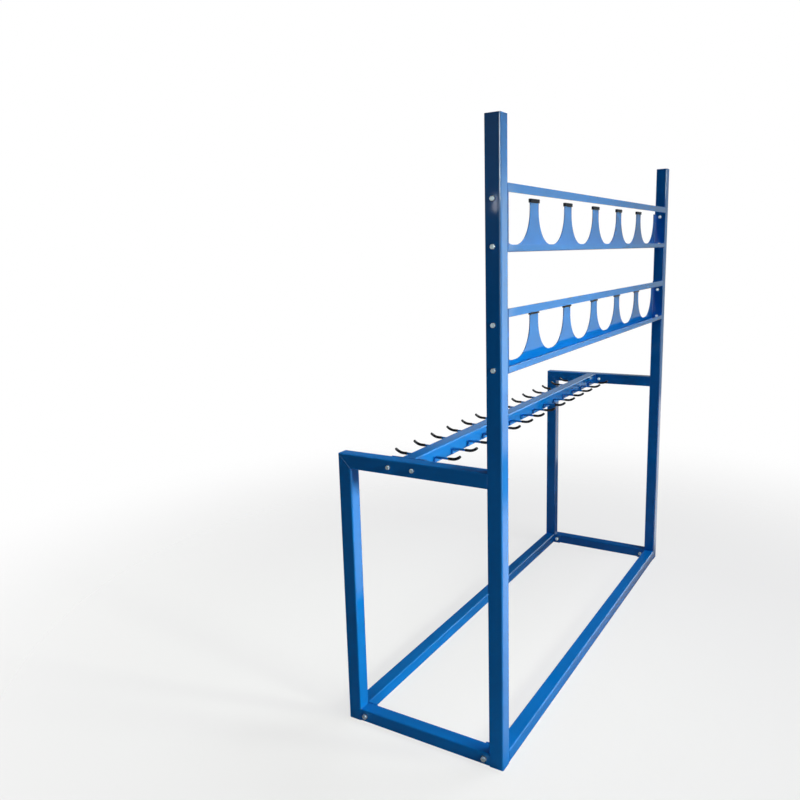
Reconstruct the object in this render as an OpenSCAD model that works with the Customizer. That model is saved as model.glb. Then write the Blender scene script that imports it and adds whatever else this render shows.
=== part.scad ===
// Garden tool rack: two welded end frames joined by floor rails, two notched
// hanger racks between the tall posts and a double-sided hook rail.
// Origin at the middle of the footprint on the floor. The open front, with the
// tall posts, looks towards -Y and the length runs along X.

/* [End frames] */
// Length over the outer faces of the two end frames
frame_l = 1980; // [1600:10:2080]
// Depth over the outer faces of the front and rear posts
frame_d = 600; // [560:10:800]
// Height of the tall front posts with their top plates
tall_post_h = 2000; // [1900:10:2300]
// Height of the short rear posts and of the top rails
short_post_h = 980; // [850:10:1100]
// Width of the square post tube
post_w = 50; // [45:1:60]
// Height of the base tubes that lie on the floor
base_h = 45; // [38:1:50]
// Wall of every tube
tube_wall = 2.5; // [2:0.5:4]
// Outer corner radius of every tube
tube_corner_r = 5; // [4:0.5:8]
// Thickness of the plate that closes each tall post
top_plate_t = 3; // [2:0.5:5]
// Height of the plastic plug in the foot of each post
plug_h = 15; // [8:1:30]

/* [Floor rails] */
// Thickness of the plate welded on each end of a floor rail
rail_plate_t = 5; // [4:0.5:8]
// Width of the bolted tab that the plate has beside the rail
rail_tab_w = 36; // [30:1:50]

/* [Hanger racks] */
// Depth of the upper rack's underside below the top of the tall posts
upper_rack_drop = 374; // [300:2:390]
// Height of the upper rack above the lower one
rack_spacing = 351; // [300:1:400]
// Number of notches in each rack
notch_count = 6; // [6:1:7]
// Width of a finger above the rounds of the notches
finger_w = 70; // [60:1:90]
// Length of the flat between the two rounds at the bottom of a notch
notch_flat = 27; // [10:1:60]
// Height of the notch floor above the rack's underside
notch_floor_h = 22; // [20:1:26]
// Height of the finger tops above the rack's underside
finger_top_h = 160; // [150:1:165]
// Thickness of the folded comb sheet
comb_t = 3; // [2:0.5:4]
// Outer radius of the folds in the comb sheet
fold_r = 5; // [4:0.5:7]
// Height of the front lip of the comb sheet
lip_h = 20; // [16:1:26]
// Height of the flat guard bar across the front
guard_h = 25; // [20:1:40]
// Thickness of the guard bar
guard_t = 4; // [3:0.5:6]
// Gap between the finger caps and the guard bar, measured in height
guard_gap = 3; // [2:0.5:12]
// Thickness of the rack's end plates
rack_plate_t = 4; // [3:0.5:6]
// Height of a finger cap
cap_h = 12; // [9:0.5:16]
// Wall of a finger cap
cap_wall = 3; // [2:0.5:4]
// Clearance between a finger and its cap
cap_clear = 0.1; // [0.05:0.05:0.3]
// Height of the lower bolt above the rack's underside
rack_bolt_low_h = 16; // [14:1:20]
// Height of the upper bolt above the rack's underside
rack_bolt_high_h = 147; // [120:1:150]

/* [Hook rail] */
// Distance of the hook rail behind the middle of the frame
hook_rail_y = 55; // [-20:5:70]
// Distance of each fixing bolt from the middle of the rail
hook_bolt_y = 45; // [42:1:55]
// Width of the end plates' tabs beyond the bolts
hook_plate_edge = 20; // [16:1:25]
// Thickness of the hook rail's end plates
hook_plate_t = 5; // [4:0.5:8]

/* [Hooks] */
// Number of hooks on each side of the rail, an even number
hook_count = 14; // [10:2:16]
// Distance from one hook to the next
hook_pitch = 125; // [90:5:125]
// Diameter of the hook bar
hook_bar_d = 8; // [6:0.5:10]
// Length of the leg welded to the rail, down from the arm's centre line
hook_leg_h = 20; // [16:1:22]
// Radius of the bend between leg and arm, on the centre line
hook_bend_r = 8; // [6:0.5:10]
// Distance from the rail to the start of the tip's upward curve
hook_arm_l = 70; // [60:1:85]
// Radius of the upward curve, on the centre line
hook_tip_r = 44; // [30:1:60]
// Angle that the tip rises to
hook_tip_angle = 45; // [30:5:60]
// Wall of the dipped sleeve over arm and tip
sleeve_wall = 1; // [0.5:0.25:1.5]
// Distance from the rail to the edge of the dipped sleeve
sleeve_start = 55; // [40:1:58]

/* [Fasteners] */
// Diameter of the bolts through the base tubes
frame_bolt_d = 10; // [8:1:12]
// Diameter of the bolts of the racks and of the hook rail
rail_bolt_d = 8; // [6:1:8]
// Clearance of a bolt hole over the bolt
hole_clear = 1; // [0.5:0.25:1.5]
// Clearance of a washer or nut over the bolt
thread_clear = 0.4; // [0.2:0.1:0.6]

/* [Hidden] */

// Fineness of round faces, and of the hooks' bars and bends
$fn = 48;
bar_fn = 20;
// Overshoot of every cutting solid past the face that it cuts
eps = 1;

half_l = frame_l / 2;
half_d = frame_d / 2;
inner_x = half_l - post_w;
front_y = -half_d;
post_back_y = front_y + post_w;

// Left and right, and front and rear, as signs along X and Y
LEFT = -1;
RIGHT = 1;
FRONT = -1;
REAR = 1;

// Where the floor rails end and where their bolts pass
floor_rail_l = 2 * (inner_x - rail_plate_t);
frame_bolt_y = half_d - post_w - rail_tab_w / 2;
frame_bolt_z = base_h / 2;

// Both racks hang at fixed depths below the top of the tall posts
upper_rack_z = tall_post_h - upper_rack_drop;
lower_rack_z = upper_rack_z - rack_spacing;

// The rack between its end plates, and its notches
comb_l = 2 * (inner_x - rack_plate_t);
notch_pitch = 2 * inner_x / notch_count;
notch_w = notch_pitch - finger_w;
notch_r = (notch_w - notch_flat) / 2;
cap_top_h = finger_top_h + cap_wall;
guard_z = cap_top_h + guard_gap;
rack_h = guard_z + guard_h;
rack_bolt_y = front_y + post_w / 2;

// The hook rail lies flush with the top rails
hook_rail_z = short_post_h - post_w / 2;
hook_rail_l = 2 * (inner_x - hook_plate_t);
hook_plate_w = 2 * (hook_bolt_y + hook_plate_edge);

// The hook's leg has a flat, as deep as this, where it is welded to the rail
weld_flat = 0.4;
leg_u = hook_bar_d / 2 - weld_flat;

paint = [0.07, 0.30, 0.62];
rubber = [0.06, 0.06, 0.07];
zinc = [0.78, 0.80, 0.83];

function notch_x(i) = -inner_x + notch_pitch * (i + 0.5);
function finger_x(i) = -inner_x + notch_pitch * (i + 1);
function hook_x(i) = hook_pitch * (i - (hook_count - 1) / 2);

// Hexagon across corners for a bolt of this diameter, with 13 mm flats at M8
function hex_d(bolt_d) = 1.625 * bolt_d * 2 / sqrt(3);
function head_t(bolt_d) = 0.65 * bolt_d;
function nut_t(bolt_d) = 0.85 * bolt_d;
function washer_d(bolt_d) = 2.1 * bolt_d;
function washer_t(bolt_d) = 0.2 * bolt_d;

// Rectangle with round corners about the origin
module round_rect(w, d, r) {
    square([w - 2 * r, d], center = true);
    square([w, d - 2 * r], center = true);
    for (sx = [-1, 1], sy = [-1, 1])
        translate([sx * (w / 2 - r), sy * (d / 2 - r)])
            circle(r);
}

// Tube section about the origin
module tube_section(w, d) {
    difference() {
        round_rect(w, d, tube_corner_r);
        round_rect(w - 2 * tube_wall, d - 2 * tube_wall, tube_corner_r - tube_wall);
    }
}

// Straight tubes along each axis, from the origin: width across, height up
module tube_z(l) {
    linear_extrude(l)
        tube_section(post_w, post_w);
}

module tube_y(l, h) {
    rotate([-90, 0, 0])
        linear_extrude(l)
            tube_section(post_w, h);
}

module tube_x(l, h) {
    rotate([90, 0, 90])
        linear_extrude(l)
            tube_section(post_w, h);
}

// Hole through everything along X at one place
module cross_hole(side, y, z, bolt_d) {
    translate([side * half_l, y, z])
        rotate([0, -side * 90, 0])
            translate([0, 0, -eps])
                cylinder(d = bolt_d + hole_clear, h = 2 * post_w);
}

// Plate of thickness t against the inner face of an end frame
module frame_plate(side, y, z, w, h, t, r) {
    translate([side * (inner_x - t / 2), y, z])
        rotate([90, 0, 90])
            linear_extrude(t, center = true)
                round_rect(w, h, r);
}

// End frames

module tall_post(side) {
    color(paint)
        difference() {
            translate([side * (half_l - post_w / 2), front_y + post_w / 2, 0])
                tube_z(tall_post_h - top_plate_t);
            for (z0 = [lower_rack_z, upper_rack_z], h = [rack_bolt_low_h, rack_bolt_high_h])
                cross_hole(side, rack_bolt_y, z0 + h, rail_bolt_d);
        }
}

module post_top_plate(side) {
    color(paint)
        translate([side * (half_l - post_w / 2), front_y + post_w / 2, tall_post_h - top_plate_t])
            linear_extrude(top_plate_t)
                round_rect(post_w, post_w, tube_corner_r);
}

// Everything above the mitre where the top rail meets the short post
module above_mitre() {
    translate([0, half_d - post_w, short_post_h - post_w])
        rotate([45, 0, 0])
            translate([-frame_l, -frame_d, 0])
                cube([2 * frame_l, 2 * frame_d, frame_d]);
}

module short_post(side) {
    color(paint)
        difference() {
            translate([side * (half_l - post_w / 2), half_d - post_w / 2, 0])
                tube_z(short_post_h);
            above_mitre();
        }
}

module top_rail(side) {
    color(paint)
        difference() {
            intersection() {
                translate([side * (half_l - post_w / 2), post_back_y, hook_rail_z])
                    tube_y(frame_d - post_w, post_w);
                above_mitre();
            }
            for (sy = [-1, 1])
                cross_hole(side, hook_rail_y + sy * hook_bolt_y, hook_rail_z, rail_bolt_d);
        }
}

module base_rail(side) {
    color(paint)
        difference() {
            translate([side * (half_l - post_w / 2), post_back_y, base_h / 2])
                tube_y(frame_d - 2 * post_w, base_h);
            for (sy = [-1, 1])
                cross_hole(side, sy * frame_bolt_y, frame_bolt_z, frame_bolt_d);
        }
}

// Plugs pressed into the feet of the four posts, clear of the floor
module foot_plugs() {
    inner_w = post_w - 2 * tube_wall;
    color(rubber)
        for (sx = [-1, 1], sy = [-1, 1])
            translate([sx * (half_l - post_w / 2), sy * (half_d - post_w / 2), eps])
                linear_extrude(plug_h)
                    round_rect(inner_w, inner_w, tube_corner_r - tube_wall);
}

// Floor rails

module floor_rail(row) {
    color(paint)
        translate([-floor_rail_l / 2, row * (half_d - post_w / 2), base_h / 2])
            tube_x(floor_rail_l, base_h);
}

module rail_plate(side, row) {
    plate_w = post_w + rail_tab_w;
    color(paint)
        difference() {
            frame_plate(side, row * (half_d - plate_w / 2), base_h / 2,
                plate_w, base_h, rail_plate_t, tube_corner_r);
            cross_hole(side, row * frame_bolt_y, frame_bolt_z, frame_bolt_d);
        }
}

// Hanger racks

// Side view of the folded sheet: tall web at the back, floor, and lip in front
module comb_section() {
    difference() {
        fold_outline(post_w, fold_r);
        translate([comb_t, comb_t])
            fold_outline(post_w - 2 * comb_t, fold_r - comb_t);
        translate([-eps, lip_h])
            square([post_w - comb_t + eps, finger_top_h]);
    }
}

// Upright outline of width w with both bottom corners rounded
module fold_outline(w, r) {
    for (x = [r, w - r])
        translate([x, r])
            circle(r);
    translate([r, 0])
        square([w - 2 * r, finger_top_h]);
    translate([0, r])
        square([w, finger_top_h - r]);
}

// Round-bottomed notch through the web only, open at the top
module notch(i) {
    notch_h = finger_top_h + notch_r;
    translate([notch_x(i), post_back_y + eps, notch_floor_h + notch_h / 2])
        rotate([90, 0, 0])
            linear_extrude(comb_t + 2 * eps)
                round_rect(notch_w, notch_h, notch_r);
}

module comb(z0) {
    color(paint)
        translate([0, 0, z0])
            difference() {
                translate([-comb_l / 2, front_y, 0])
                    rotate([90, 0, 90])
                        linear_extrude(comb_l)
                            comb_section();
                for (i = [0 : notch_count - 1])
                    notch(i);
            }
}

module guard_bar(z0) {
    color(paint)
        translate([-comb_l / 2, front_y, z0 + guard_z])
            cube([comb_l, guard_t, guard_h]);
}

module rack_plate(side, z0) {
    color(paint)
        difference() {
            frame_plate(side, rack_bolt_y, z0 + rack_h / 2, post_w, rack_h, rack_plate_t, fold_r);
            for (h = [rack_bolt_low_h, rack_bolt_high_h])
                cross_hole(side, rack_bolt_y, z0 + h, rail_bolt_d);
        }
}

// One cap on each full finger, gripping the top edge of the sheet
module finger_caps(z0) {
    slot_w = finger_w + 2 * cap_clear;
    slot_t = comb_t + 2 * cap_clear;
    web_mid_y = post_back_y - comb_t / 2;
    color(rubber)
        for (i = [0 : notch_count - 2])
            translate([finger_x(i), web_mid_y, z0 + cap_top_h - cap_h])
                difference() {
                    linear_extrude(cap_h)
                        round_rect(slot_w + 2 * cap_wall, slot_t + 2 * cap_wall, cap_wall);
                    translate([-slot_w / 2, -slot_t / 2, -eps])
                        cube([slot_w, slot_t, cap_h - cap_wall + eps]);
                }
}

// Hook rail

module hook_rail() {
    color(paint)
        translate([-hook_rail_l / 2, hook_rail_y, hook_rail_z])
            tube_x(hook_rail_l, post_w);
}

module hook_rail_plate(side) {
    color(paint)
        difference() {
            frame_plate(side, hook_rail_y, hook_rail_z, hook_plate_w, post_w, hook_plate_t, tube_corner_r);
            for (sy = [-1, 1])
                cross_hole(side, hook_rail_y + sy * hook_bolt_y, hook_rail_z, rail_bolt_d);
        }
}

// Hooks, drawn in the YZ plane with y as the distance out from the rail's face
// and z = 0 at the arm

// Arc of a round bar about the X axis, from one angle on through another
module bar_bend(bend_r, bar_d, from, sweep) {
    rotate([90, 0, 90])
        rotate([0, 0, from])
            rotate_extrude(angle = sweep, $fn = bar_fn)
                translate([bend_r, 0])
                    circle(d = bar_d, $fn = bar_fn);
}

// Level arm from a distance on, and the long upward curve of its tip
module curved_arm(bar_d, start_u, sweep) {
    translate([0, start_u, 0])
        rotate([-90, 0, 0])
            cylinder(d = bar_d, h = hook_arm_l - start_u, $fn = bar_fn);
    translate([0, hook_arm_l, hook_tip_r])
        bar_bend(hook_tip_r, bar_d, -90, sweep);
}

module hook_bar() {
    difference() {
        union() {
            translate([0, leg_u, -hook_leg_h])
                cylinder(d = hook_bar_d, h = hook_leg_h - hook_bend_r, $fn = bar_fn);
            translate([0, leg_u + hook_bend_r, -hook_bend_r])
                bar_bend(hook_bend_r, hook_bar_d, 90, 90);
            curved_arm(hook_bar_d, leg_u + hook_bend_r, hook_tip_angle);
        }
        translate([-hook_bar_d, -hook_bar_d, -hook_leg_h - eps])
            cube([2 * hook_bar_d, hook_bar_d, 2 * hook_leg_h]);
    }
}

// Dipped sleeve, closed past the end of the bar
module hook_sleeve() {
    closed_end_angle = 2 * asin(sleeve_wall / hook_tip_r);
    difference() {
        curved_arm(hook_bar_d + 2 * sleeve_wall, sleeve_start, hook_tip_angle + closed_end_angle);
        curved_arm(hook_bar_d, sleeve_start - eps, hook_tip_angle);
    }
}

// The children at every place of one half of one side of the rail
module each_hook(row, side) {
    half_count = hook_count / 2;
    first = side == LEFT ? 0 : half_count;
    for (i = [first : first + half_count - 1])
        translate([hook_x(i), hook_rail_y + row * post_w / 2, hook_rail_z])
            mirror([0, row == FRONT ? 1 : 0, 0])
                children();
}

module hooks(row, side) {
    color(paint)
        each_hook(row, side)
            hook_bar();
}

module hook_sleeves(row, side) {
    color(rubber)
        each_hook(row, side)
            hook_sleeve();
}

// Fasteners, drawn along +Z with z = 0 on the outer face of the end frame

module bolt(bolt_d, plate_t) {
    grip = post_w + plate_t + 2 * washer_t(bolt_d) + nut_t(bolt_d);
    translate([0, 0, -washer_t(bolt_d) - head_t(bolt_d)])
        cylinder(d = hex_d(bolt_d), h = head_t(bolt_d), $fn = 6);
    translate([0, 0, -washer_t(bolt_d)])
        cylinder(d = bolt_d, h = grip + 2);
}

// One washer under the head and one under the nut
module washer_pair(bolt_d, plate_t) {
    for (z = [-washer_t(bolt_d), post_w + plate_t])
        translate([0, 0, z])
            difference() {
                cylinder(d = washer_d(bolt_d), h = washer_t(bolt_d));
                translate([0, 0, -eps])
                    cylinder(d = bolt_d + thread_clear, h = washer_t(bolt_d) + 2 * eps);
            }
}

module nut(bolt_d, plate_t) {
    translate([0, 0, post_w + plate_t + washer_t(bolt_d)])
        difference() {
            cylinder(d = hex_d(bolt_d), h = nut_t(bolt_d), $fn = 6);
            translate([0, 0, -eps])
                cylinder(d = bolt_d + thread_clear, h = nut_t(bolt_d) + 2 * eps);
        }
}

// The children at one place of both end frames, pointing inwards
module both_ends(y, z) {
    for (side = [LEFT, RIGHT])
        translate([side * half_l, y, z])
            rotate([0, -side * 90, 0])
                children();
}

module at_frame_bolts() {
    for (sy = [-1, 1])
        both_ends(sy * frame_bolt_y, frame_bolt_z)
            children();
}

module at_rack_bolts() {
    for (z0 = [lower_rack_z, upper_rack_z], h = [rack_bolt_low_h, rack_bolt_high_h])
        both_ends(rack_bolt_y, z0 + h)
            children();
}

module at_hook_rail_bolts() {
    for (sy = [-1, 1])
        both_ends(hook_rail_y + sy * hook_bolt_y, hook_rail_z)
            children();
}

module frame_bolts() {
    color(zinc)
        at_frame_bolts()
            bolt(frame_bolt_d, rail_plate_t);
}

module frame_washers() {
    color(zinc)
        at_frame_bolts()
            washer_pair(frame_bolt_d, rail_plate_t);
}

module frame_nuts() {
    color(zinc)
        at_frame_bolts()
            nut(frame_bolt_d, rail_plate_t);
}

module rack_bolts() {
    color(zinc)
        at_rack_bolts()
            bolt(rail_bolt_d, rack_plate_t);
}

module rack_washers() {
    color(zinc)
        at_rack_bolts()
            washer_pair(rail_bolt_d, rack_plate_t);
}

module rack_nuts() {
    color(zinc)
        at_rack_bolts()
            nut(rail_bolt_d, rack_plate_t);
}

module hook_rail_bolts() {
    color(zinc)
        at_hook_rail_bolts()
            bolt(rail_bolt_d, hook_plate_t);
}

module hook_rail_washers() {
    color(zinc)
        at_hook_rail_bolts()
            washer_pair(rail_bolt_d, hook_plate_t);
}

module hook_rail_nuts() {
    color(zinc)
        at_hook_rail_bolts()
            nut(rail_bolt_d, hook_plate_t);
}

tall_post(LEFT);  // left_tall_post
short_post(LEFT);  // left_short_post
top_rail(LEFT);  // left_top_rail
base_rail(LEFT);  // left_base_rail
post_top_plate(LEFT);  // left_post_top_plate
tall_post(RIGHT);  // right_tall_post
short_post(RIGHT);  // right_short_post
top_rail(RIGHT);  // right_top_rail
base_rail(RIGHT);  // right_base_rail
post_top_plate(RIGHT);  // right_post_top_plate
foot_plugs();
floor_rail(FRONT);  // front_floor_rail
floor_rail(REAR);  // rear_floor_rail
rail_plate(LEFT, FRONT);  // front_left_rail_plate
rail_plate(RIGHT, FRONT);  // front_right_rail_plate
rail_plate(LEFT, REAR);  // rear_left_rail_plate
rail_plate(RIGHT, REAR);  // rear_right_rail_plate
comb(upper_rack_z);  // upper_comb
guard_bar(upper_rack_z);  // upper_guard_bar
rack_plate(LEFT, upper_rack_z);  // upper_left_rack_plate
rack_plate(RIGHT, upper_rack_z);  // upper_right_rack_plate
finger_caps(upper_rack_z);  // upper_finger_caps
comb(lower_rack_z);  // lower_comb
guard_bar(lower_rack_z);  // lower_guard_bar
rack_plate(LEFT, lower_rack_z);  // lower_left_rack_plate
rack_plate(RIGHT, lower_rack_z);  // lower_right_rack_plate
finger_caps(lower_rack_z);  // lower_finger_caps
hook_rail();
hook_rail_plate(LEFT);  // left_hook_rail_plate
hook_rail_plate(RIGHT);  // right_hook_rail_plate
hooks(FRONT, LEFT);  // front_left_hooks
hooks(FRONT, RIGHT);  // front_right_hooks
hooks(REAR, LEFT);  // rear_left_hooks
hooks(REAR, RIGHT);  // rear_right_hooks
hook_sleeves(FRONT, LEFT);  // front_left_hook_sleeves
hook_sleeves(FRONT, RIGHT);  // front_right_hook_sleeves
hook_sleeves(REAR, LEFT);  // rear_left_hook_sleeves
hook_sleeves(REAR, RIGHT);  // rear_right_hook_sleeves
frame_bolts();
frame_washers();
frame_nuts();
rack_bolts();
rack_washers();
rack_nuts();
hook_rail_bolts();
hook_rail_washers();
hook_rail_nuts();
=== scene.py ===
# %% [markdown]
# # Garden tool rack
# This lesson dresses a CAD model of a steel rack for garden tools. The rack has two welded end
# frames, two floor rails, two notched hanger racks and one rail with hooks on both sides.
# The CAD model arrives as a fixed frame in metres: nothing in it is moved or reshaped. Where its
# shape is already right it only gets a better finish, and where the real piece is softer or
# finer, a new piece is built on the same spot and stands for the old one.

# %% Load the frame
from math import atan2
from math import cos
from math import pi
from math import radians
from math import sin
from math import tan

import bmesh
import bpy
from mathutils import Matrix
from mathutils import Vector


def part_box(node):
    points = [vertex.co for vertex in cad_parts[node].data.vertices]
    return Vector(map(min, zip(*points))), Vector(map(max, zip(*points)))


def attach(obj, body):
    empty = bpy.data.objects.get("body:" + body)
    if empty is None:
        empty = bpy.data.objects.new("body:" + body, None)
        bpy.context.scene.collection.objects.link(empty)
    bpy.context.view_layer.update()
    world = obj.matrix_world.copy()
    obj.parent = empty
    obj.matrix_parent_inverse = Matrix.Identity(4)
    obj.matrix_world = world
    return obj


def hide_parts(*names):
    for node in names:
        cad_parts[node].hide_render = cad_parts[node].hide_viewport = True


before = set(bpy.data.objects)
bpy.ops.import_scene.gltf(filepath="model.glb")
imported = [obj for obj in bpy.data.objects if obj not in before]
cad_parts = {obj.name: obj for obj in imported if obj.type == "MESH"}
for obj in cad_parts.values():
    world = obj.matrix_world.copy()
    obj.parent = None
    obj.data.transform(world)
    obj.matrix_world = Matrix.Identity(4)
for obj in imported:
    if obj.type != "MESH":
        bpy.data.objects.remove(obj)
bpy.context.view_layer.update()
scene = bpy.context.scene
scene.view_settings.view_transform = "Standard"
MM = 0.001
print("CAD nodes:", len(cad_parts))

# %% [markdown]
# ## The camera
# The picture to match was taken by someone standing to the left of the open front, with the
# camera at eye height and looking a little down. A camera could be placed by eye, but then the
# rack's long edges would never quite agree. Here the place, the three angles and the lens come
# from fitting the straight edges of the frame, so they are written as plain numbers.

# %% Place the camera
camera_lens = bpy.data.cameras.new("eye_height_camera")
camera_lens.lens = 33.95
camera_lens.sensor_width = 36.0
camera = bpy.data.objects.new("eye_height_camera", camera_lens)
scene.collection.objects.link(camera)
scene.camera = camera

camera_place = Vector((-2.9568, -1.1901, 1.6250))
camera_heading = radians(57.841)
camera_dip = radians(10.823)
camera_lean = radians(-1.726)
camera.matrix_world = (
    Matrix.Translation(camera_place)
    @ Matrix.Rotation(-camera_heading, 4, "Z")
    @ Matrix.Rotation(pi / 2 - camera_dip, 4, "X")
    @ Matrix.Rotation(camera_lean, 4, "Z")
)
print("Camera height:", round(camera_place.z, 3), "m")

# %% [markdown]
# ## Helpers for shader nodes
# Every finish below is a small network of nodes. Making a node takes three kinds of lines: the
# node itself, its settings and the values of the inputs that nothing is plugged into. One
# helper does all three. The room and the floor need three things again and again, so they are
# helpers too: a soft ramp from one brightness to another, several values worked into one, and
# a mix of two shaders.

# %% Define the node helpers
def add_node(tree, kind, inputs=None, **settings):
    """One shader node with its settings and with values for its unlinked inputs."""
    made = tree.nodes.new(kind)
    for name, value in settings.items():
        setattr(made, name, value)
    for name, value in (inputs or {}).items():
        made.inputs[name].default_value = value
    return made


def start_nodes(tree):
    """Empties a node tree, so that it holds only what the next lines put in."""
    tree.nodes.clear()
    return tree


def soft_ramp(tree, value, low, high, at_low, at_high):
    """Goes smoothly from one brightness to another while the value goes from low to high."""
    span = {"From Min": low, "From Max": high, "To Min": at_low, "To Max": at_high}
    ramp = add_node(tree, "ShaderNodeMapRange", span, interpolation_type="SMOOTHSTEP")
    tree.links.new(value, ramp.inputs["Value"])
    return ramp.outputs["Result"]


def combine(tree, operation, first, *others):
    """Works several values into one. Each of them is a socket or a plain number."""
    for other in others:
        step = add_node(tree, "ShaderNodeMath", operation=operation)
        for socket, value in zip(step.inputs, (first, other)):
            if isinstance(value, float):
                socket.default_value = value
            else:
                tree.links.new(value, socket)
        first = step.outputs["Value"]
    return first


def mix_shaders(tree, share, first, second):
    """The first shader, replaced by the second one as far as the share says."""
    mixed = add_node(tree, "ShaderNodeMixShader")
    tree.links.new(share, mixed.inputs["Fac"])
    tree.links.new(first.outputs[0], mixed.inputs[1])
    tree.links.new(second.outputs[0], mixed.inputs[2])
    return mixed


PURE_WHITE = (1.0, 1.0, 1.0, 1.0)
print("Node helpers ready")

# %% [markdown]
# ## The room
# Glossy paint shows what stands around it, so the room matters as much as the lamps. The rack
# stands in a white room. The wall in front of it is bright near the horizon and darker towards
# the ceiling, and lays a pale veil on the front faces. The wall behind it is dim, and the side
# that the end faces mirror is nearly black, so that they stay a deep blue. A few brighter
# patches give the highlights that are named beside them. Walls could be modelled, but the world
# can do the same with the direction that it is looked at in. Its axes run from -1 to 1, and
# rays straight from the camera simply see white.

# %% Build the room
room = bpy.data.worlds.new("white_room")
room.use_nodes = True
scene.world = room
room_tree = start_nodes(room.node_tree)
room_link = room_tree.links.new

ray = add_node(room_tree, "ShaderNodeLightPath")
outlook = add_node(room_tree, "ShaderNodeTexCoord")
outlook_axes = add_node(room_tree, "ShaderNodeSeparateXYZ")
room_link(outlook.outputs["Generated"], outlook_axes.inputs["Vector"])


def room_ramp(axis, low, high, at_low, at_high):
    """Brightness that changes smoothly along one axis of the outlook."""
    return soft_ramp(room_tree, outlook_axes.outputs[axis], low, high, at_low, at_high)


def room_product(*parts):
    """Several brightnesses multiplied."""
    return combine(room_tree, "MULTIPLY", *parts)


def room_band(axis, low, high, soft):
    """1 between two directions along one axis, 0 outside, with soft rims."""
    rise = room_ramp(axis, low - soft, low, 0.0, 1.0)
    fall = room_ramp(axis, high, high + soft, 1.0, 0.0)
    return room_product(rise, fall)


front_wall = room_product(
    room_ramp("Z", 0.06, 0.32, 0.85, 0.05),
    room_ramp("Y", -0.38, -0.26, 1.0, 0.6),
    room_ramp("Y", -0.20, -0.05, 1.0, 0.0),
)
rear_wall = room_product(
    room_ramp("Z", 0.236, 0.258, 0.38, 0.05),
    room_ramp("Y", -0.20, -0.05, 0.0, 1.0),
)
walls = room_product(
    combine(room_tree, "ADD", front_wall, rear_wall),
    room_ramp("X", -0.45, 0.15, 0.03, 1.0),
    room_ramp("Z", -0.60, -0.28, 0.25, 1.0),
)
bright_patches = {
    "light line along the rails' upper edges": room_product(
        room_band("Y", -0.55, -0.08, 0.06),
        room_band("Z", 0.24, 0.46, 0.04),
        room_ramp("X", 0.55, 0.62, 0.0, 4.0),
    ),
    "thin line on the near post's corner": room_product(
        room_ramp("X", -0.62, -0.58, 24.0, 0.0),
        room_band("Z", 0.07, 0.165, 0.015),
        room_ramp("Y", -0.50, -0.42, 1.0, 0.0),
    ),
    "light on everything round that faces the camera": room_product(
        room_ramp("X", -0.62, -0.45, 3.0, 0.0),
        room_ramp("Y", -0.50, -0.36, 1.0, 0.0),
    ),
    "pale front of the near post": room_product(
        room_band("Y", -0.445, -0.400, 0.006),
        room_band("Z", -0.16, 0.05, 0.07),
    ),
    "sheen of the bolt heads": room_product(
        room_band("Y", -0.50, 0.17, 0.03),
        room_band("Z", -0.05, 0.45, 0.10),
        room_ramp("X", -0.80, -0.70, 2.0, 0.0),
    ),
    "veil on the near post's upper side": room_product(
        room_ramp("Y", 0.37, 0.40, 0.0, 1.0),
        room_ramp("Z", -0.10, 0.16, 0.02, 0.25),
        room_ramp("X", -0.80, -0.70, 1.0, 0.0),
    ),
}
mirrored_room = combine(room_tree, "ADD", walls, *bright_patches.values())

ROOM_FILL = 0.03
MIRROR_TINT = (0.88, 1.0, 0.94, 1.0)
seen_white = (ray.outputs["Is Camera Ray"], ray.outputs["Is Transmission Ray"])
room_strength = combine(room_tree, "MAXIMUM", *seen_white, ROOM_FILL)
room_light = add_node(room_tree, "ShaderNodeBackground", {"Color": PURE_WHITE})
room_link(room_strength, room_light.inputs["Strength"])
mirrored_light = add_node(room_tree, "ShaderNodeBackground", {"Color": MIRROR_TINT})
room_link(mirrored_room, mirrored_light.inputs["Strength"])
room_mix = mix_shaders(room_tree, ray.outputs["Is Glossy Ray"], room_light, mirrored_light)
room_out = add_node(room_tree, "ShaderNodeOutputWorld")
room_link(room_mix.outputs["Shader"], room_out.inputs["Surface"])
print("Room fill light:", ROOM_FILL)
for patch in bright_patches:
    print("Bright patch for the", patch)

# %% [markdown]
# ## The lamps
# Two softboxes in front do most of the lighting. Each wears a grid that keeps its light in a
# narrow fan. One is aimed low, just past the near end, and one at mid height, left of the
# middle, so the light falls off towards the far end; without grids it would stay nearly even. A
# weak box on the left gives the end faces their share, and one high above lights the tops and
# the floor. Two wide boxes fill the back and the right end. A slim lamp, like the gap of a door,
# shows only as a streak in the near post's paint. The front boxes would clip to white in the
# paint, so they aren't mirrored, and the two fills aren't either. The power of each lamp is
# worked out from how bright a white card should look under it.

# %% Hang the lamps
def softbox(name, place, aim, size, brightness, colour, fan=180, mirrored=True):
    """A soft area lamp. Brightness 1 shows a white card, turned to it at the aim, as white."""
    lamp = bpy.data.lights.new(name, "AREA")
    lamp.shape = "RECTANGLE"
    lamp.size, lamp.size_y = size
    lamp.color = colour
    lamp.spread = radians(fan)
    half_fan = radians(fan) / 2
    grid_gain = tan(half_fan) / (tan(half_fan) - half_fan) if fan < 180 else 1.0
    reach = Vector(aim) - Vector(place)
    lamp.energy = brightness * pi * pi * reach.length_squared / grid_gain
    box = bpy.data.objects.new(name, lamp)
    scene.collection.objects.link(box)
    turn = reach.to_track_quat("-Z", "Y").to_matrix().to_4x4()
    box.matrix_world = Matrix.Translation(place) @ turn
    box.visible_camera = False
    box.visible_glossy = mirrored
    print(name, "at", round(reach.length, 2), "m with", round(lamp.energy, 1), "W")


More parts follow.
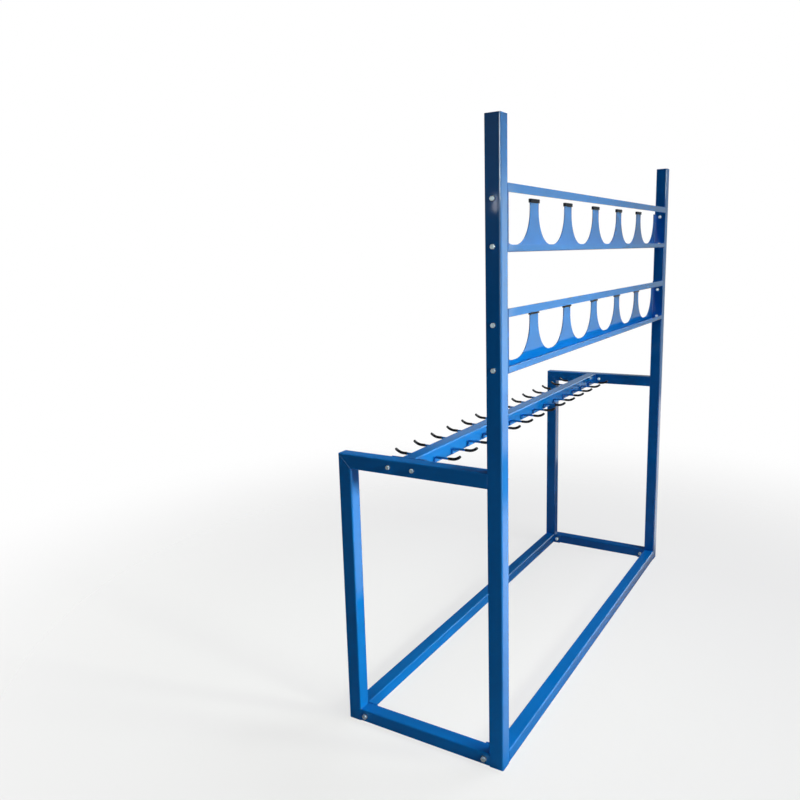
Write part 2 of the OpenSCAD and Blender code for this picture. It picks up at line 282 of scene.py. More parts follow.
WARM = (0.95, 1.0, 0.86)
COOL = (0.96, 0.97, 1.0)
GRID = 28
softbox("left_softbox", (-1.70, -6.20, 2.50), (-1.15, 0.00, 0.50), (0.8, 0.8), 0.92, WARM,
        fan=GRID, mirrored=False)
softbox("right_softbox", (1.00, -6.20, 3.20), (-0.45, 0.00, 0.94), (0.8, 1.2), 1.30, WARM,
        fan=GRID, mirrored=False)
softbox("side_softbox", (-6.00, -0.60, 1.90), (-1.00, -0.10, 1.35), (1.6, 1.6), 0.16, COOL,
        fan=32)
softbox("ceiling_softbox", (0.80, -1.60, 5.60), (0.00, 0.10, 0.80), (1.5, 1.5), 0.58, COOL)
softbox("door_gap", (-5.53, 1.81, 2.07), (-1.00, -0.288, 1.775), (0.02, 0.14), 0.0004, COOL)
softbox("rear_softbox", (1.60, 6.00, 2.60), (0.20, 0.00, 0.90), (3.0, 3.0), 0.32, COOL,
        fan=60, mirrored=False)
softbox("end_softbox", (6.00, 0.90, 2.20), (0.90, 0.00, 1.00), (2.0, 2.0), 0.16, COOL,
        fan=40, mirrored=False)

# %% [markdown]
# ## The floor
# The rack was photographed against plain white. A white floor that ends in a horizon would draw
# a grey line behind the rack. So this floor is a wide disc that is solid under the rack, where
# it catches the shadows, and turns clear with distance until only the white room is left. The
# low faces mirror the floor too, so glossy rays see one of their own, which glows with painted
# light: bright in front of the rack and to the right, with painted shade under the rack and a
# darker band across the floor in front of it, which keeps the hook rail's face deep blue.

# %% Lay the floor
FLOOR_RADIUS = 6.0
SOLID_WITHIN = 1.2
CLEAR_BEYOND = 3.6
FLOOR_WHITE = (0.70, 0.70, 0.70, 1.0)
FLOOR_LIFT = 0.72

floor_mesh = bpy.data.meshes.new("studio_floor")
floor_shape = bmesh.new()
bmesh.ops.create_circle(floor_shape, cap_ends=True, segments=96, radius=FLOOR_RADIUS)
bmesh.ops.translate(floor_shape, verts=floor_shape.verts, vec=(0.0, 0.0, -0.2 * MM))
floor_shape.to_mesh(floor_mesh)
floor_shape.free()
floor = bpy.data.objects.new("studio_floor", floor_mesh)
scene.collection.objects.link(floor)

floor_finish = bpy.data.materials.new("white_studio_floor")
floor_finish.use_nodes = True
floor_tree = start_nodes(floor_finish.node_tree)
floor_link = floor_tree.links.new
floor_ray = add_node(floor_tree, "ShaderNodeLightPath").outputs
floor_spot = add_node(floor_tree, "ShaderNodeTexCoord")
floor_distance = add_node(floor_tree, "ShaderNodeVectorMath", operation="LENGTH")
floor_axes = add_node(floor_tree, "ShaderNodeSeparateXYZ")
floor_link(floor_spot.outputs["Object"], floor_distance.inputs[0])
floor_link(floor_spot.outputs["Object"], floor_axes.inputs["Vector"])

floor_white = add_node(floor_tree, "ShaderNodeBsdfDiffuse", {"Color": FLOOR_WHITE})
floor_shine = add_node(floor_tree, "ShaderNodeEmission", {"Color": PURE_WHITE})
floor_clear = add_node(floor_tree, "ShaderNodeBsdfTransparent")
floor_lift = combine(floor_tree, "MULTIPLY", floor_ray["Is Camera Ray"], FLOOR_LIFT)
floor_solid = mix_shaders(floor_tree, floor_lift, floor_white, floor_shine)
away = floor_distance.outputs["Value"]
floor_fade = soft_ramp(floor_tree, away, SOLID_WITHIN, CLEAR_BEYOND, 0.0, 1.0)
floor_faded = mix_shaders(floor_tree, floor_fade, floor_solid, floor_clear)


def floor_ramp(axis, low, high, at_low, at_high):
    """Brightness of the mirrored floor that changes smoothly along one axis, in metres."""
    return soft_ramp(floor_tree, floor_axes.outputs[axis], low, high, at_low, at_high)


# Painted light for the mirrored floor: brighter to the right, painted shade under the rack where
# its shadow falls, and a darker band across the floor in front of the rack.
lit_with_darker_band = combine(
    floor_tree, "MAXIMUM",
    floor_ramp("Y", -1.50, -1.20, 0.15, 1.0),
    floor_ramp("Y", -2.05, -1.75, 1.0, 0.15),
)
floor_painted_light = combine(
    floor_tree, "MULTIPLY",
    floor_ramp("Y", -0.39, -0.28, 1.0, 0.10),
    floor_ramp("X", -1.10, 0.50, 0.45, 1.20),
    lit_with_darker_band,
)
# An emission seen only by glossy rays: the floor glows with the painted light above.
floor_mirrored = add_node(floor_tree, "ShaderNodeEmission")
floor_link(floor_painted_light, floor_mirrored.inputs["Strength"])
floor_seen = mix_shaders(floor_tree, floor_ray["Is Glossy Ray"], floor_faded, floor_mirrored)
floor_out = add_node(floor_tree, "ShaderNodeOutputMaterial")
floor_link(floor_seen.outputs["Shader"], floor_out.inputs["Surface"])
floor_finish.cycles.emission_sampling = "NONE"
floor_mesh.materials.append(floor_finish)
print("Floor radius:", FLOOR_RADIUS, "m, solid within", SOLID_WITHIN, "m")

# %% [markdown]
# ## Helpers for finishes
# All the finishes share one plan: a Principled shader, a fine pattern for the bump and a broad
# one for the small differences in colour and gloss that every real surface has. The patterns
# read Object coordinates, which are metres here, so a scale of 400 gives grains of 2 to 3 mm.

# %% Define the finish helpers
def start_finish(name, **sockets):
    """A material with a Principled shader whose plain values are set on its own sockets."""
    finish = bpy.data.materials.new(name)
    finish.use_nodes = True
    tree = start_nodes(finish.node_tree)
    shader = add_node(tree, "ShaderNodeBsdfPrincipled")
    for socket, value in sockets.items():
        shader.inputs[socket.replace("_", " ")].default_value = value
    out = add_node(tree, "ShaderNodeOutputMaterial")
    tree.links.new(shader.outputs["BSDF"], out.inputs["Surface"])
    return finish, tree, shader


def grain(tree, scale, detail=2.0):
    """Noise on Object coordinates, from 0 to 1."""
    spot = add_node(tree, "ShaderNodeTexCoord")
    noise = add_node(tree, "ShaderNodeTexNoise", {"Scale": scale, "Detail": detail})
    tree.links.new(spot.outputs["Object"], noise.inputs["Vector"])
    return noise.outputs["Fac"]


def tint(tree, shader, pattern, dark, light):
    """Lets the middle of the pattern mix two close colours into the base colour."""
    ramp = add_node(tree, "ShaderNodeValToRGB")
    for stop, place, colour in zip(ramp.color_ramp.elements, (0.35, 0.65), (dark, light)):
        stop.position = place
        stop.color = (*colour, 1.0)
    tree.links.new(pattern, ramp.inputs["Fac"])
    tree.links.new(ramp.outputs["Color"], shader.inputs["Base Color"])


def gloss(tree, shader, pattern, smooth, rough):
    """Lets the middle of the pattern move the roughness between two values."""
    values = {"From Min": 0.3, "From Max": 0.7, "To Min": smooth, "To Max": rough}
    span = add_node(tree, "ShaderNodeMapRange", values)
    tree.links.new(pattern, span.inputs["Value"])
    tree.links.new(span.outputs["Result"], shader.inputs["Roughness"])


def relief(tree, shader, pattern, height, strength):
    """Lets the pattern raise the surface by up to this height in metres."""
    bump = add_node(tree, "ShaderNodeBump", {"Strength": strength, "Distance": height})
    tree.links.new(pattern, bump.inputs["Height"])
    tree.links.new(bump.outputs["Normal"], shader.inputs["Normal"])


print("Finish helpers ready")

# %% [markdown]
# ## Blue powder coat
# The steel is sprayed with a blue powder and baked. The coat comes out smooth and glossy, with
# the faint orange peel that baked powder always keeps. A flat blue would look like plastic.
# Here a broad cloud shifts the blue and a finer one the gloss, each by a little, and a grain of
# 2 to 3 mm makes the peel. It stays very shallow, because the paint mirrors sharply.

# %% Mix the powder coat
powder_coat, coat_tree, coat_shader = start_finish("blue_powder_coat", Specular_IOR_Level=0.5)
cloud = grain(coat_tree, 3.5, 3.0)
tint(coat_tree, coat_shader, cloud, (0.0022, 0.160, 0.551), (0.0030, 0.177, 0.609))
gloss(coat_tree, coat_shader, grain(coat_tree, 11.0, 4.0), 0.03, 0.055)
relief(coat_tree, coat_shader, grain(coat_tree, 420.0, 1.0), 0.02 * MM, 0.4)
print("Finish:", powder_coat.name)

# %% [markdown]
# ## Black rubber and black dip
# The finger caps are pushed-on rubber with a dull, slightly pebbled skin. The hooks were dipped
# in soft vinyl, which runs smooth and keeps a gloss. Both are black, so what tells them apart
# is how sharp their highlights are, and that is set by roughness and by the size of the grain.

# %% Mix the rubber and the dip
cap_rubber, cap_tree, cap_shader = start_finish("pebbled_black_rubber", Specular_IOR_Level=0.15)
tint(cap_tree, cap_shader, grain(cap_tree, 40.0), (0.006, 0.008, 0.014), (0.012, 0.015, 0.025))
gloss(cap_tree, cap_shader, grain(cap_tree, 160.0), 0.42, 0.58)
relief(cap_tree, cap_shader, grain(cap_tree, 900.0, 3.0), 0.06 * MM, 0.6)

hook_dip, dip_tree, dip_shader = start_finish(
    "dipped_black_vinyl", Coat_Weight=0.2, Coat_Roughness=0.1
)
tint(dip_tree, dip_shader, grain(dip_tree, 60.0), (0.010, 0.010, 0.012), (0.020, 0.020, 0.024))
gloss(dip_tree, dip_shader, grain(dip_tree, 90.0), 0.20, 0.34)
relief(dip_tree, dip_shader, grain(dip_tree, 240.0, 2.0), 0.08 * MM, 0.5)
print("Finishes:", cap_rubber.name, "and", hook_dip.name)

# %% [markdown]
# ## Zinc plating
# The bolts and nuts are bright zinc, a little bluish. Plating isn't one even mirror: it has a
# fine grain from the bath and a faint difference between warmer and cooler patches. So the metal
# colour wanders between two close greys, and so does the roughness. The washers are duller and
# darker, which draws the dark ring round each head. One even grey would be simpler, but it
# would show none of this. The foot plugs are plain black plastic.

# %% Mix the zinc
zinc_plate, zinc_tree, zinc_shader = start_finish("bright_zinc_plate", Metallic=0.9)
tint(zinc_tree, zinc_shader, grain(zinc_tree, 120.0), (0.80, 0.90, 0.98), (0.88, 0.96, 1.0))
gloss(zinc_tree, zinc_shader, grain(zinc_tree, 300.0, 3.0), 0.38, 0.50)
relief(zinc_tree, zinc_shader, grain(zinc_tree, 1400.0, 2.0), 0.02 * MM, 0.6)

washer_zinc, washer_tree, washer_shader = start_finish("dull_zinc_plate", Metallic=0.4)
tint(washer_tree, washer_shader, grain(washer_tree, 120.0), (0.06, 0.08, 0.12), (0.11, 0.14, 0.19))
gloss(washer_tree, washer_shader, grain(washer_tree, 300.0, 3.0), 0.42, 0.56)
relief(washer_tree, washer_shader, grain(washer_tree, 1400.0, 2.0), 0.02 * MM, 0.6)

plug_plastic, plug_tree, plug_shader = start_finish("moulded_black_plastic", Specular_IOR_Level=0.5)
tint(plug_tree, plug_shader, grain(plug_tree, 50.0), (0.014, 0.014, 0.015), (0.022, 0.022, 0.023))
gloss(plug_tree, plug_shader, grain(plug_tree, 200.0), 0.35, 0.50)
relief(plug_tree, plug_shader, grain(plug_tree, 700.0, 2.0), 0.04 * MM, 0.5)
print("Finishes:", zinc_plate.name + ",", washer_zinc.name, "and", plug_plastic.name)

# %% [markdown]
# ## The tubes
# Posts, rails, the hook rail and the hooks are bought tube and bar, and the CAD model already
# has their true sections with round corners. They could be modelled again, but nothing would be
# gained. They keep their solids and get the paint. The foot plugs get their plastic.

# %% Paint the tubes
painted_nodes = [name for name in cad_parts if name.endswith(("post", "rail", "hooks"))]
for name in painted_nodes:
    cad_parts[name].material_slots[0].material = powder_coat
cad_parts["foot_plugs"].material_slots[0].material = plug_plastic
print("Painted as they are:", len(painted_nodes), "nodes")

# %% [markdown]
# ## Finishing a piece
# A shape made in code is only a mesh. To join the rack it needs faces that point outwards, soft
# shading that breaks at real edges and a material. It rides on the frame's root, and the solid
# that it stands for is hidden. Weighted normals keep the big flats flat beside small rounds.

# %% Define how a piece is finished
SMOOTH_UP_TO = radians(42)


def finish_piece(name, shape, finish, slot, *nodes, flats=False):
    """Turns a bmesh into a piece of the rack that rides on the root and stands for the nodes."""
    bmesh.ops.recalc_face_normals(shape, faces=shape.faces)
    mesh = bpy.data.meshes.new(name)
    shape.to_mesh(mesh)
    shape.free()
    mesh.materials.append(finish)
    mesh.shade_smooth()
    mesh.set_sharp_from_angle(angle=SMOOTH_UP_TO)
    piece = bpy.data.objects.new(name, mesh)
    scene.collection.objects.link(piece)
    if flats:
        even = piece.modifiers.new("even_flats", "WEIGHTED_NORMAL")
        even.keep_sharp = True
    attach(piece, "root")
    if nodes:
        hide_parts(*nodes)
    print(name, "has", len(mesh.polygons), "faces")
    return piece


print("Finishing helper ready")

# %% [markdown]
# ## Sheet and plate with soft edges
# Laser-cut sheet has sharp corners, but powder coat can't hold on a knife edge: it pulls back
# and leaves a round of about half a millimetre that catches a thin line of light. The combs,
# the guard bars and all end plates are made from a copy of their solid. The copy's loose
# triangles are merged, the flat ones joined into whole faces, and every edge that turns by more
# than 30 degrees is bevelled. Building the sheets again would only repeat the same outline.

# %% Soften the sheets and plates
SAME_SPOT = 0.005 * MM
NEARLY_FLAT = radians(0.4)
SHARP_FROM = radians(30)
SHEET_ROUND = 0.5 * MM
PLATE_ROUND = 0.6 * MM


def softened_copy(node, width, segments=2):
    """A copy of a node's solid with its sharp edges rounded."""
    shape = bmesh.new()
    shape.from_mesh(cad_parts[node].data)
    bmesh.ops.remove_doubles(shape, verts=shape.verts, dist=SAME_SPOT)
    bmesh.ops.dissolve_limit(
        shape, angle_limit=NEARLY_FLAT, verts=shape.verts, edges=shape.edges
    )
    sharp = [
        edge
        for edge in shape.edges
        if edge.is_manifold and edge.calc_face_angle(0.0) > SHARP_FROM
    ]
    bmesh.ops.bevel(
        shape, geom=sharp, offset=width, segments=segments, profile=0.5,
        affect="EDGES", material=-1, clamp_overlap=True,
    )
    return shape


for rack in ("upper", "lower"):
    for part in ("comb", "guard_bar", "left_rack_plate", "right_rack_plate"):
        node = f"{rack}_{part}"
        finish_piece(f"{node}_painted", softened_copy(node, SHEET_ROUND), powder_coat,
                     "blue_paint", node, flats=True)

end_plates = [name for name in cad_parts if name.endswith(("rail_plate", "top_plate"))]
for node in end_plates:
    finish_piece(f"{node}_painted", softened_copy(node, PLATE_ROUND), powder_coat,
                 "blue_paint", node, flats=True)

# %% [markdown]
# ## Finger caps
# Each full finger of a comb ends in a pushed-on rubber cap, so that a handle lifted past it
# isn't scratched. A moulded cap has generous rounds, more than twice those of the sheet. The
# solid has the right outline and slot, so a copy with a wider bevel in three steps is the cap.

# %% Round the finger caps
CAP_ROUND = 1.3 * MM
for rack in ("upper", "lower"):
    node = f"{rack}_finger_caps"
    finish_piece(f"{node}_moulded", softened_copy(node, CAP_ROUND, 3), cap_rubber,
                 "black_rubber", node, flats=True)

# %% [markdown]
# ## Shapes built from rings
# Bolts, sleeves and weld beads have one thing in common: each is a ring of points that is
# pulled along a path while it changes its size. Spinning a profile would do for the washers, but
# not for hexagon heads or bent sleeves. One helper does it for all: it starts with a circle and
# extrudes its rim once for each station, and each station says where the ring goes.

# %% Define the ring helper
SEAM_GAP = 0.001 * MM


def pull_ring(shape, stations, segments, closed=False):
    """Extrudes a circle through the stations. Each is a function from an angle to a point."""
    ring = bmesh.ops.create_circle(shape, segments=segments, radius=1.0)["verts"]
    turns = {vert: atan2(vert.co.y, vert.co.x) for vert in ring}
    rim = list({edge for vert in ring for edge in vert.link_edges})
    made = list(ring)
    for vert, turn in turns.items():
        vert.co = stations[0](turn)
    for station in stations[1:]:
        grown = bmesh.ops.extrude_edge_only(shape, edges=rim)["geom"]
        fresh = [item for item in grown if isinstance(item, bmesh.types.BMVert)]
        fresh_set = set(fresh)
        next_turns = {}
        for vert in fresh:
            old = next(
                edge.other_vert(vert) for edge in vert.link_edges
                if edge.other_vert(vert) in turns
            )
            next_turns[vert] = turns[old]
        rim = [
            item for item in grown
            if isinstance(item, bmesh.types.BMEdge) and set(item.verts) <= fresh_set
        ]
        for vert, turn in next_turns.items():
            vert.co = station(turn)
        turns = next_turns
        made.extend(fresh)
    if closed:
        bmesh.ops.remove_doubles(shape, verts=made, dist=SEAM_GAP)
    else:
        bmesh.ops.contextual_create(shape, geom=rim)
        first_rim = [edge for vert in ring for edge in vert.link_edges if edge.is_boundary]
        bmesh.ops.contextual_create(shape, geom=list(set(first_rim)))


print("Ring helper ready")

# %% [markdown]
# ## Where the fasteners are
# The fasteners stand on the solids of the CAD model. Their places could be typed in again, but
# then they would drift when the model changes. So each node of fasteners is taken apart into its
# loose solids, and the middle of each one is the axis of a bolt.

# %% Find the bolts
def loose_boxes(node):
    """The lowest and highest corner of each loose solid in a node."""
    shape = bmesh.new()
    shape.from_mesh(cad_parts[node].data)
    bmesh.ops.remove_doubles(shape, verts=shape.verts, dist=SAME_SPOT)
    waiting = set(shape.verts)
    boxes = []
    while waiting:
        island = [waiting.pop()]
        for vert in island:
            for edge in vert.link_edges:
                other = edge.other_vert(vert)
                if other in waiting:
                    waiting.remove(other)
                    island.append(other)
        places = [vert.co for vert in island]
        low = Vector([min(place[axis] for place in places) for axis in range(3)])
        high = Vector([max(place[axis] for place in places) for axis in range(3)])
        boxes.append((low, high))
    shape.free()
    return boxes


bolt_places = {}
for family in ("frame", "rack", "hook_rail"):
    places = []
    for low, high in loose_boxes(f"{family}_bolts"):
        middle = (low + high) / 2
        places.append((-1 if middle.x < 0 else 1, middle.y, middle.z))
    bolt_places[family] = places
    print(family, "bolts:", len(places))

# %% [markdown]
# ## Bolts, washers and nuts
# A hexagon bolt's head is a hexagon whose outer corners are turned off by a cone, which leaves
# the curved edge on each flat that makes it look like a bolt. The ring helper can follow that
# edge: the height of the ring falls with its distance from the axis. The thread is a row of
# ridges, cut only at the end, through the nut and just past it. Washers and nuts are closed
# rings.

# %% Make the fasteners
# Down to THREAD_ROOT, these are shares of the thread's diameter.
WASHER_THICK = 0.2
WASHER_RADIUS = 1.05
HEAD_HIGH = 0.65
HEAD_RAISED = 0.02
NUT_HIGH = 0.85
NUT_SINK = 0.06
ACROSS_FLATS = 1.625
CHAMFER_RIM = 0.77
THREAD_PITCH = 0.15
THREAD_CREST = 0.5
THREAD_ROOT = 0.43

HOLE_PLAY = 0.2 * MM
BROKEN_EDGE = 0.25 * MM
TIP_PAST_NUT = 2 * MM
RIDGES = 8
RING_POINTS = 36
CONE_SLOPE = tan(radians(30))
end_face = abs(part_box("left_tall_post")[0].x)
post_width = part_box("left_tall_post")[1].x + end_face


def hexagon(across):
    """Distance from the axis to a hexagon's edge, at an angle."""
    sixth = pi / 3
    return lambda turn: across / 2 / cos((turn + 2 * pi + sixth / 2) % sixth - sixth / 2)


def outline(place, radius, height):
    """A station whose radius and height may both depend on the angle."""
    def station(turn):
        reach = radius(turn) if callable(radius) else radius
        level = height(turn) if callable(height) else height
        return place @ Vector((reach * cos(turn), reach * sin(turn), level))
    return station


def chamfer_cone(edge, rim, level, direction):
    """Height at which a 30 degree cone through a rim meets a hexagon's edge."""
    return lambda turn: level + direction * (edge(turn) - rim) * CONE_SLOPE


def make_bolt(shape, place, size, grip):
    """Head, shank and threaded end, with the outer face of the frame at height 0."""
    washer = WASHER_THICK * size
    edge = hexagon(ACROSS_FLATS * size)
    rim = CHAMFER_RIM * size
    top = -washer - HEAD_HIGH * size
    stations = [
        outline(place, 0.45 * rim, top + HEAD_RAISED * size),
        outline(place, 0.85 * rim, top + HEAD_RAISED * size),
        outline(place, rim, top),
        outline(place, edge, chamfer_cone(edge, rim, top, 1)),
        outline(place, edge, -washer),
        outline(place, size / 2, -washer),
    ]
    pitch = THREAD_PITCH * size
    tip = grip + TIP_PAST_NUT
    thread_start = tip - (RIDGES + 1) * pitch
    crest, root = THREAD_CREST, THREAD_ROOT
    ridge_profile = ((crest, 0.0), (crest, 0.15), (root, 0.5), (root, 0.65))
    for ridge in range(RIDGES):
        for radius, along in ridge_profile:
            stations.append(outline(place, radius * size, thread_start + (ridge + along) * pitch))
    stations.append(outline(place, 0.42 * size, tip - 0.3 * pitch))
    stations.append(outline(place, 0.38 * size, tip))
    pull_ring(shape, stations, RING_POINTS)


def make_washer(shape, place, size, level):
    """A flat ring with its edges just broken, from this level up."""
    thick = WASHER_THICK * size
    outer = WASHER_RADIUS * size
    inner = size / 2 + HOLE_PLAY
    soft = BROKEN_EDGE
    corners = [
        (inner, level + soft), (inner + soft, level), (outer - soft, level),
        (outer, level + soft), (outer, level + thick - soft), (outer - soft, level + thick),
        (inner + soft, level + thick), (inner, level + thick - soft), (inner, level + soft),
    ]
    stations = [outline(place, *corner) for corner in corners]
    pull_ring(shape, stations, RING_POINTS, closed=True)


def make_nut(shape, place, size, level):
    """A nut with cones on both ends and a countersunk bore."""
    top = level + NUT_HIGH * size
    edge = hexagon(ACROSS_FLATS * size)
    rim = CHAMFER_RIM * size
    bore = size / 2 + HOLE_PLAY
    sink = NUT_SINK * size
    stations = [
        outline(place, bore, level + sink),
        outline(place, bore + sink, level),
        outline(place, rim, level),
        outline(place, edge, chamfer_cone(edge, rim, level, 1)),
        outline(place, edge, chamfer_cone(edge, rim, top, -1)),
        outline(place, rim, top),
        outline(place, bore + sink, top),
        outline(place, bore, top - sink),
        outline(place, bore, level + sink),
    ]
    pull_ring(shape, stations, RING_POINTS, closed=True)


thread_and_plate = {"frame": (10, 5), "rack": (8, 4), "hook_rail": (8, 5)}
for family, (thread, plate) in thread_and_plate.items():
    size = thread * MM
    bolts = bmesh.new()
    washers = bmesh.new()
    nuts = bmesh.new()
    washer = WASHER_THICK * size
    stack = post_width + plate * MM
    for side, y, z in bolt_places[family]:
        inwards = Matrix.Rotation(radians(-90 * side), 4, "Y")
        place = Matrix.Translation((side * end_face, y, z)) @ inwards
        make_bolt(bolts, place, size, stack + 2 * washer + NUT_HIGH * size)
        make_washer(washers, place, size, -washer)
        make_washer(washers, place, size, stack)
        make_nut(nuts, place, size, stack + washer)
    made = (
        ("bolts", "chamfered", bolts, zinc_plate),
        ("washers", "turned", washers, washer_zinc),
        ("nuts", "chamfered", nuts, zinc_plate),
    )
    for kind, work, shape, finish in made:
        node = f"{family}_{kind}"
        finish_piece(f"{node}_{work}", shape, finish, "zinc_plate", node)

# %% [markdown]
# ## Dipped sleeves on the hooks
# Each hook was dipped in soft vinyl up to its straight part. A dip leaves no sharp edges: the
# coat starts with a rounded lip, keeps one thickness along the bend, and closes over the tip in
# a round end. So the ring is pulled along the hook's own line. Its radius grows at the lip and
# shrinks at the tip. A tube with a ball on its end would show where the two meet.

# %% Dip the hooks
hook_places = []
for row, front in (("front", -1), ("rear", 1)):
    for side in ("left", "right"):
        for low, high in loose_boxes(f"{row}_{side}_hook_sleeves"):
            hook_places.append((f"{row}_{side}", front, (low.x + high.x) / 2))

rail_low, rail_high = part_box("hook_rail")
hook_level = (rail_low.z + rail_high.z) / 2
HOOK_BAR = 8 * MM
ARM_END = 70 * MM
TIP_BEND = 44 * MM
TIP_RISE = radians(45)
DIP_START = 55 * MM
DIP_WALL = 1 * MM
BEND_STEPS = 7
TIP_STEPS = 5
DIP_POINTS = 16


def hook_line(distance):
    """Place and slope of the hook's middle line, this far out from the rail along it."""
    if distance <= ARM_END:
        return Vector((distance, 0.0)), 0.0
    rise = (distance - ARM_END) / TIP_BEND
    return Vector((ARM_END + TIP_BEND * sin(rise), TIP_BEND * (1 - cos(rise)))), rise


def dip_station(x, front, distance, radius):
    """A ring round the hook's line, in the plane that the bar is cut by there."""
    spot, slope = hook_line(distance)
    rail_face = rail_high.y if front > 0 else rail_low.y

    def station(turn):
        across = radius * cos(turn)
        above = radius * sin(turn)
        out = spot.x - above * sin(slope)
        level = spot.y + above * cos(slope)
        return Vector((x + across, rail_face + front * out, hook_level + level))
    return station


dip_radius = HOOK_BAR / 2 + DIP_WALL
bar_end = ARM_END + TIP_BEND * TIP_RISE
tip_end = bar_end + 2 * DIP_WALL
dip_profile = [
    (DIP_START, HOOK_BAR / 2 - 0.1 * MM),
    (DIP_START, HOOK_BAR / 2 + 0.45 * DIP_WALL),
    (DIP_START + 0.5 * MM, dip_radius - 0.15 * MM),
    (DIP_START + 1.5 * MM, dip_radius),
    (ARM_END, dip_radius),
]
for step in range(1, BEND_STEPS):
    dip_profile.append((ARM_END + step / BEND_STEPS * (bar_end - ARM_END), dip_radius))
round_start = tip_end - dip_radius
for step in range(TIP_STEPS + 1):
    turn = radians(88 * step / TIP_STEPS)
    dip_profile.append((round_start + dip_radius * sin(turn), dip_radius * cos(turn)))

sleeves = {}
for group, front, x in hook_places:
    shape = sleeves.setdefault(group, bmesh.new())
    stations = [dip_station(x, front, *point) for point in dip_profile]
    pull_ring(shape, stations, DIP_POINTS)
for group, shape in sleeves.items():
    finish_piece(f"{group}_hook_dip", shape, hook_dip, "black_rubber", f"{group}_hook_sleeves")

# %% [markdown]
# ## Weld beads
# The frame is held together by welds, and the powder coat covers them but doesn't hide them. A
# hand-laid bead is a row of overlapping ripples that starts and ends in a small round. Each one
# here is a ring that is pulled along the joint while its size swells and shrinks. The bead sits
# half inside the metal, so that only the part that a welder would leave shows.

# %% Define the weld bead
RIPPLE = 2.6 * MM
VALLEY = 0.86
START_SHARE = 0.35
FADE = 0.55


def weld_bead(shape, start, end, radius, segments=8):
    """A row of ripples from start to end."""
    start = Vector(start)
    run = Vector(end) - start
    along = run.to_track_quat("Z", "Y").to_matrix().to_4x4()
    ripples = max(2, round(run.length / RIPPLE))
    stations = []
    for step in range(2 * ripples + 1):
        share = step / (2 * ripples)
        end_fade = min(1.0, START_SHARE + FADE * min(step, 2 * ripples - step))
        swell = 1.0 if step % 2 else VALLEY
        spot = Matrix.Translation(start + run * share) @ along
        stations.append(outline(spot, radius * end_fade * swell, 0.0))
    pull_ring(shape, stations, segments)


print("Ripple length:", round(RIPPLE / MM, 1), "mm")

# %% [markdown]
# ## Welds of the end frames
# The top rail and the base rail butt against the posts, so a bead runs over the top of each
# joint, down both of its sides and, off the floor, along its underside too. The top rail meets
# the short post in a mitre, with a bead in the inner corner and a seam that was ground almost
# flush on either side.

# %% Weld the end frames
frame_welds = bmesh.new()
BEAD = 2.6 * MM
INSET = 5 * MM
SIDE_INSET = 2.2 * MM
SIDE_BACK = 1.0 * MM
GROUND_BEAD = 1.5 * MM
GROUND_INSET = 0.9 * MM
for side in ("left", "right"):
    tall_low, tall_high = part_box(f"{side}_tall_post")
    short_low, short_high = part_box(f"{side}_short_post")
    top_low, top_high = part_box(f"{side}_top_rail")
    base_low, base_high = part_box(f"{side}_base_rail")
    across = (tall_low.x + INSET, tall_high.x - INSET)
    joints = (
        (tall_high.y, 1, top_low.z, top_high.z),
        (tall_high.y, 1, base_low.z, base_high.z),
        (short_low.y, -1, base_low.z, base_high.z),
    )
    for y, away, low_z, high_z in joints:
        weld_bead(frame_welds, (across[0], y, high_z), (across[1], y, high_z), BEAD)
        if low_z > 0:
            weld_bead(frame_welds, (across[0], y, low_z), (across[1], y, low_z), BEAD)
        for face, inwards in ((tall_low.x, 1), (tall_high.x, -1)):
            seam_x = face + inwards * SIDE_INSET
            seam_y = y - away * SIDE_BACK
            seam = ((seam_x, seam_y, low_z + INSET), (seam_x, seam_y, high_z - INSET))
            weld_bead(frame_welds, *seam, BEAD)
    inner_corner = (short_low.y, top_low.z)
    weld_bead(frame_welds, (across[0], *inner_corner), (across[1], *inner_corner), BEAD)
    for face, inwards in ((tall_low.x, 1), (tall_high.x, -1)):
        seam_x = face + inwards * GROUND_INSET
        seam_start = (seam_x, short_low.y + 2 * MM, top_low.z + 2 * MM)
        seam_end = (seam_x, short_high.y - INSET, top_high.z - INSET)
        weld_bead(frame_welds, seam_start, seam_end, GROUND_BEAD)
finish_piece("frame_welds", frame_welds, powder_coat, "blue_paint")

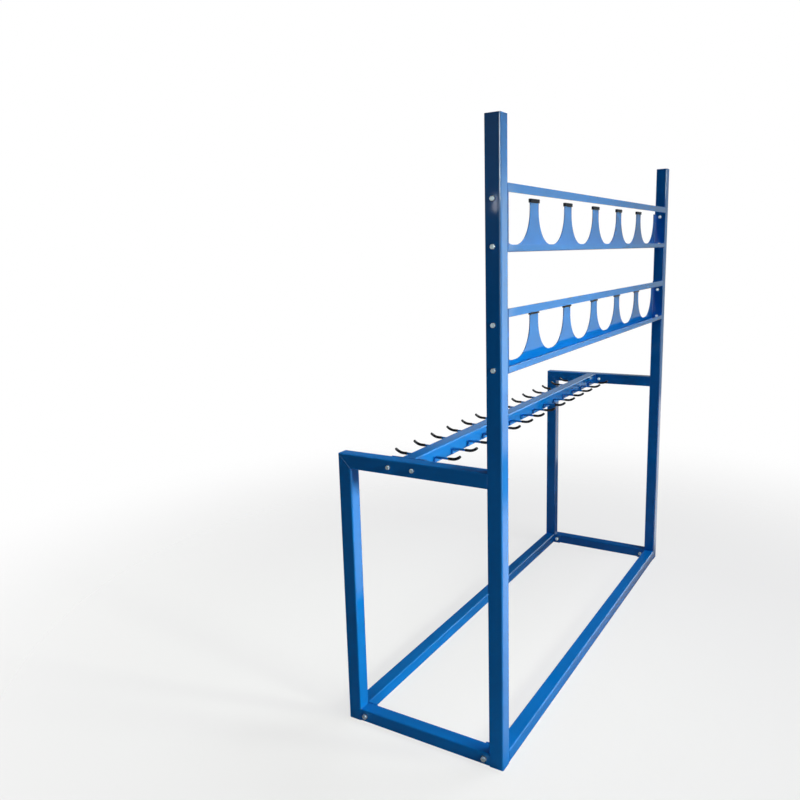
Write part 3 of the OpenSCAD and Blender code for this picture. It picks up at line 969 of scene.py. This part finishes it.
# %% [markdown]
# ## Welds of the rails and the racks
# A rail's end is welded to its plate along upright corners: both of the hook rail's, and the
# inner ones of the floor rails. Inside a rack the comb is welded to the end plates along its
# tall web and its floor, and the guard bar by a short bead behind it. One helper lays them all,
# because the joints differ only in place, length and thickness.

# %% Weld the rails and the racks
rail_welds = bmesh.new()
welded_faces = (("hook_rail", 0), ("hook_rail", 1), ("front_floor_rail", 1), ("rear_floor_rail", 0))
for end in (0, 1):
    for rail, face in welded_faces:
        rail_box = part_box(rail)
        corner = (rail_box[end].x, rail_box[face].y)
        low_z = rail_box[0].z + INSET
        high_z = rail_box[1].z - INSET
        weld_bead(rail_welds, (*corner, low_z), (*corner, high_z), BEAD)
finish_piece("rail_welds", rail_welds, powder_coat, "blue_paint")

rack_welds = bmesh.new()
SHEET = 3 * MM
RACK_BEAD = 2 * MM
for rack in ("upper", "lower"):
    comb_low, comb_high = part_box(f"{rack}_comb")
    guard_low, guard_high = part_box(f"{rack}_guard_bar")
    web_y = comb_high.y - SHEET
    floor_z = comb_low.z + SHEET
    seams = (
        ((web_y, floor_z + INSET), (web_y, comb_high.z - 40 * MM)),
        ((comb_low.y + 8 * MM, floor_z), (web_y - INSET, floor_z)),
        ((guard_high.y, guard_low.z + 3 * MM), (guard_high.y, guard_high.z - 3 * MM)),
    )
    for end_x in (comb_low.x, comb_high.x):
        for start, end in seams:
            weld_bead(rack_welds, (end_x, *start), (end_x, *end), RACK_BEAD)
finish_piece("rack_welds", rack_welds, powder_coat, "blue_paint")

# %% [markdown]
# ## Welds of the hooks
# The short leg of each hook is welded flat against the rail, with one small bead on either
# side. Thicker beads would hide the thin bar, and with 28 hooks each bead has few faces.

# %% Weld the hooks
hook_welds = bmesh.new()
HOOK_LEG = 20 * MM
HOOK_BEAD = 1.7 * MM
BEAD_ASIDE = 3.6 * MM
for group, front, x in hook_places:
    rail_face = rail_high.y if front > 0 else rail_low.y
    low_z = hook_level - HOOK_LEG
    for aside in (-BEAD_ASIDE, BEAD_ASIDE):
        weld_bead(hook_welds, (x + aside, rail_face, low_z + 0.5 * MM),
                  (x + aside, rail_face, low_z + 12 * MM), HOOK_BEAD, 6)
finish_piece("hook_welds", hook_welds, powder_coat, "blue_paint")
